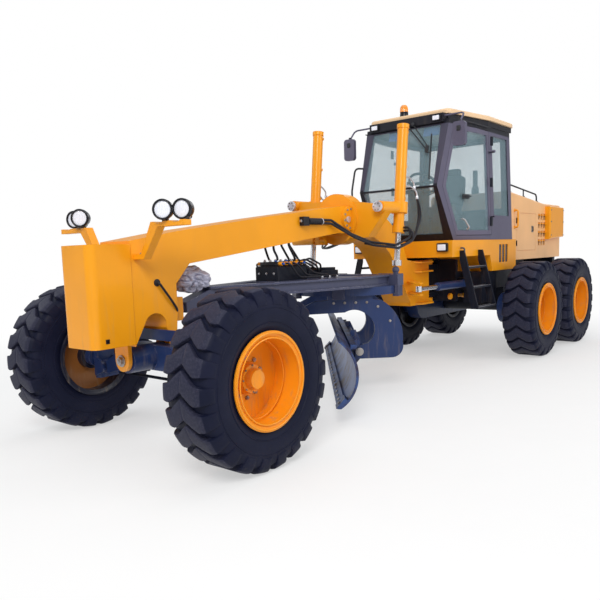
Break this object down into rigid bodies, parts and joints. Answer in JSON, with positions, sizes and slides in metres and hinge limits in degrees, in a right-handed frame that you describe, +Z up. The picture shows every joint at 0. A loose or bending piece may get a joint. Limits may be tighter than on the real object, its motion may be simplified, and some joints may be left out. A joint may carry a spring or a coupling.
{
  "type": "motor grader",
  "caption": "Articulated motor grader: arched front frame, leaning front wheels, drawbar with turning circle and angled blade, glazed cab, rear engine hood and tandem drive cases.",
  "frame": {"origin": "on the ground, at the middle of the overall length and width", "axes": "+Z up, -Y towards the front, +X towards the machine's left"},
  "size_m": [2.6794, 9.0948, 3.5],
  "materials": {
    "body_yellow": "gloss",
    "hood_cream": "gloss",
    "gear_navy": "satin",
    "frame_black": "satin",
    "worn_blade": "worn",
    "rod_chrome": "polished",
    "tyre_rubber": "matt",
    "rim_yellow": "satin",
    "cab_grey": "satin",
    "roof_cream": "gloss",
    "window_glass": "clear",
    "lamp_glass": "clear",
    "cab_plastic": "matt",
    "seat_cloth": "woven",
    "engine_grey": "cast",
    "hose_rubber": "matt",
    "bare_gear": "worn"
  },
  "bodies": {
    "rear": {"rear_frame": "body_yellow", "engine_block": "engine_grey", "hood": "hood_cream", "rear_shroud": "hood_cream", "exhaust": "frame_black", "cab_base": "body_yellow", "steps": "frame_black", "tanks": "frame_black", "cab_frame": "frame_black", "cab_glass": "window_glass", "cab_roof": "roof_cream", "seat": "seat_cloth", "steering_console": "cab_plastic", "mirrors": "cab_plastic", "cab_lamps": "lamp_glass"},
    "door_left": {"door_left": "cab_grey", "door_glass_left": "window_glass"},
    "door_right": {"door_right": "cab_grey", "door_glass_right": "window_glass"},
    "tandem_left": {"tandem_left": "gear_navy"},
    "tandem_right": {"tandem_right": "gear_navy"},
    "front_frame": {"gooseneck": "body_yellow", "nose": "body_yellow", "saddle": "body_yellow", "lift_barrels": "body_yellow", "lamp_arms": "body_yellow", "headlamps": "cab_plastic", "headlamp_lenses": "lamp_glass", "hoses": "hose_rubber"},
    "front_axle": {"front_axle": "gear_navy"},
    "lean_left": {"lean_yoke_left": "gear_navy"},
    "lean_right": {"lean_yoke_right": "gear_navy"},
    "lean_bar": {"lean_bar": "gear_navy"},
    "knuckle_left": {"knuckle_left": "gear_navy"},
    "knuckle_right": {"knuckle_right": "gear_navy"},
    "tie_rod": {"tie_rod": "frame_black"},
    "drawbar": {"drawbar": "gear_navy", "circle_drive": "frame_black"},
    "circle": {"circle": "gear_navy"},
    "circle_pinion": {"circle_pinion": "bare_gear"},
    "blade_carrier": {"blade_carrier": "gear_navy"},
    "moldboard": {"moldboard": "worn_blade"},
    "lift_rod_left": {"lift_rod_left": "rod_chrome"},
    "lift_rod_right": {"lift_rod_right": "rod_chrome"},
    "hinge_barrel_left": {"hinge_barrel_left": "gear_navy"},
    "hinge_barrel_right": {"hinge_barrel_right": "gear_navy"},
    "hinge_rod_left": {"hinge_rod_left": "rod_chrome"},
    "hinge_rod_right": {"hinge_rod_right": "rod_chrome"},
    "wheel_front_left": {"tyre_front_left": "tyre_rubber", "rim_front_left": "rim_yellow"},
    "wheel_middle_left": {"tyre_middle_left": "tyre_rubber", "rim_middle_left": "rim_yellow"},
    "wheel_rear_left": {"tyre_rear_left": "tyre_rubber", "rim_rear_left": "rim_yellow"},
    "wheel_front_right": {"tyre_front_right": "tyre_rubber", "rim_front_right": "rim_yellow"},
    "wheel_middle_right": {"tyre_middle_right": "tyre_rubber", "rim_middle_right": "rim_yellow"},
    "wheel_rear_right": {"tyre_rear_right": "tyre_rubber", "rim_rear_right": "rim_yellow"}
  },
  "joints": [
    {"name": "articulation", "type": "hinge", "parent": "rear", "child": "front_frame", "pos_m": [0, 0.67, 1.12], "axis": [0, 0, 1], "range_deg": [-25, 25]},
    {"name": "tandem_rock_left", "type": "hinge", "parent": "rear", "child": "tandem_left", "pos_m": [0.7, 2.67, 0.67], "axis": [1, 0, 0], "range_deg": [-15, 15]},
    {"name": "tandem_rock_right", "type": "hinge", "parent": "rear", "child": "tandem_right", "pos_m": [-0.7, 2.67, 0.67], "axis": [1, 0, 0], "range_deg": [-15, 15]},
    {"name": "axle_rock", "type": "hinge", "parent": "front_frame", "child": "front_axle", "pos_m": [0, -3.85, 0.754], "axis": [0, 1, 0], "range_deg": [-15, 15]},
    {"name": "lean_left", "type": "hinge", "parent": "front_axle", "child": "lean_left", "pos_m": [0.7, -3.85, 0.6], "axis": [0, 1, 0], "range_deg": [-18, 18]},
    {"name": "lean_right", "type": "hinge", "parent": "front_axle", "child": "lean_right", "pos_m": [-0.7, -3.85, 0.6], "axis": [0, 1, 0], "range_deg": [-18, 18]},
    {"name": "lean_bar_slide", "type": "slide", "parent": "front_axle", "child": "lean_bar", "axis": [1, 0, 0], "range_m": [-0.106, 0.106]},
    {"name": "steer_left", "type": "hinge", "parent": "lean_left", "child": "knuckle_left", "pos_m": [0.85, -3.85, 0.67], "axis": [0, 0, 1], "range_deg": [-45, 45]},
    {"name": "steer_right", "type": "hinge", "parent": "lean_right", "child": "knuckle_right", "pos_m": [-0.85, -3.85, 0.67], "axis": [0, 0, 1], "range_deg": [-45, 45]},
    {"name": "tie_rod_slide", "type": "slide", "parent": "front_axle", "child": "tie_rod", "axis": [1, 0, 0], "range_m": [-0.114, 0.114]},
    {"name": "wheel_front_left_spin", "type": "hinge", "parent": "knuckle_left", "child": "wheel_front_left", "pos_m": [1.11, -3.85, 0.67], "axis": [1, 0, 0], "continuous": true},
    {"name": "wheel_middle_left_spin", "type": "hinge", "parent": "tandem_left", "child": "wheel_middle_left", "pos_m": [1.1025, 1.901, 0.67], "axis": [1, 0, 0], "continuous": true},
    {"name": "wheel_rear_left_spin", "type": "hinge", "parent": "tandem_left", "child": "wheel_rear_left", "pos_m": [1.1025, 3.439, 0.67], "axis": [1, 0, 0], "continuous": true},
    {"name": "wheel_front_right_spin", "type": "hinge", "parent": "knuckle_right", "child": "wheel_front_right", "pos_m": [-1.11, -3.85, 0.67], "axis": [1, 0, 0], "continuous": true},
    {"name": "wheel_middle_right_spin", "type": "hinge", "parent": "tandem_right", "child": "wheel_middle_right", "pos_m": [-1.1025, 1.901, 0.67], "axis": [1, 0, 0], "continuous": true},
    {"name": "wheel_rear_right_spin", "type": "hinge", "parent": "tandem_right", "child": "wheel_rear_right", "pos_m": [-1.1025, 3.439, 0.67], "axis": [1, 0, 0], "continuous": true},
    {"name": "blade_lift", "type": "hinge", "parent": "front_frame", "child": "drawbar", "pos_m": [0, -3.61, 1.13], "axis": [1, 0, 0], "range_deg": [-7.7, 6]},
    {"name": "lift_rod_slide_left", "type": "slide", "parent": "front_frame", "child": "lift_rod_left", "axis": [0, 0.1132, 0.9936], "range_m": [-0.354, 0.276]},
    {"name": "lift_rod_slide_right", "type": "slide", "parent": "front_frame", "child": "lift_rod_right", "axis": [0, 0.1132, 0.9936], "range_m": [-0.354, 0.276]},
    {"name": "circle_turn", "type": "hinge", "parent": "drawbar", "child": "circle", "pos_m": [0, -1.09, 1.13], "axis": [0, 0, 1], "continuous": true},
    {"name": "pinion_spin", "type": "hinge", "parent": "drawbar", "child": "circle_pinion", "pos_m": [0, -1.471, 1.14], "axis": [0, 0, 1], "continuous": true},
    {"name": "blade_pitch", "type": "hinge", "parent": "circle", "child": "blade_carrier", "pos_m": [0.06945, -1.03275, 0.47], "axis": [0.6361, -0.7716, 0], "range_deg": [-5, 35]},
    {"name": "blade_shift", "type": "slide", "parent": "blade_carrier", "child": "moldboard", "axis": [0.6361, -0.7716, 0], "range_m": [-0.55, 0.55]},
    {"name": "hinge_barrel_swing_left", "type": "hinge", "parent": "rear", "child": "hinge_barrel_left", "pos_m": [0.5, 0.99, 1.08], "axis": [0, 0, 1], "range_deg": [-19, 19]},
    {"name": "hinge_rod_slide_left", "type": "slide", "parent": "hinge_barrel_left", "child": "hinge_rod_left", "axis": [0, -1, 0], "range_m": [-0.219, 0.219]},
    {"name": "hinge_barrel_swing_right", "type": "hinge", "parent": "rear", "child": "hinge_barrel_right", "pos_m": [-0.5, 0.99, 1.08], "axis": [0, 0, 1], "range_deg": [-19, 19]},
    {"name": "hinge_rod_slide_right", "type": "slide", "parent": "hinge_barrel_right", "child": "hinge_rod_right", "axis": [0, -1, 0], "range_m": [-0.219, 0.219]},
    {"name": "door_left_swing", "type": "hinge", "parent": "rear", "child": "door_left", "pos_m": [0.775, 1.285, 2.4], "axis": [0, 0, 1], "range_deg": [0, 80]},
    {"name": "door_right_swing", "type": "hinge", "parent": "rear", "child": "door_right", "pos_m": [-0.775, 1.285, 2.4], "axis": [0, 0, -1], "range_deg": [0, 80]}
  ],
  "couplings": [
    {"joint": "lean_right", "follows": "lean_left", "ratio": 1},
    {"joint": "lean_bar_slide", "follows": "lean_left", "m_per_rad": 0.3344},
    {"joint": "steer_right", "follows": "steer_left", "ratio": 1},
    {"joint": "tie_rod_slide", "follows": "steer_left", "m_per_rad": -0.144},
    {"joint": "lift_rod_slide_left", "follows": "blade_lift", "m_per_rad": 2.63},
    {"joint": "lift_rod_slide_right", "follows": "blade_lift", "m_per_rad": 2.63},
    {"joint": "pinion_spin", "follows": "circle_turn", "ratio": 4},
    {"joint": "hinge_barrel_swing_left", "follows": "articulation", "ratio": 0.75},
    {"joint": "hinge_barrel_swing_right", "follows": "articulation", "ratio": 0.75},
    {"joint": "hinge_rod_slide_left", "follows": "articulation", "m_per_rad": -0.5},
    {"joint": "hinge_rod_slide_right", "follows": "articulation", "m_per_rad": 0.5}
  ]
}
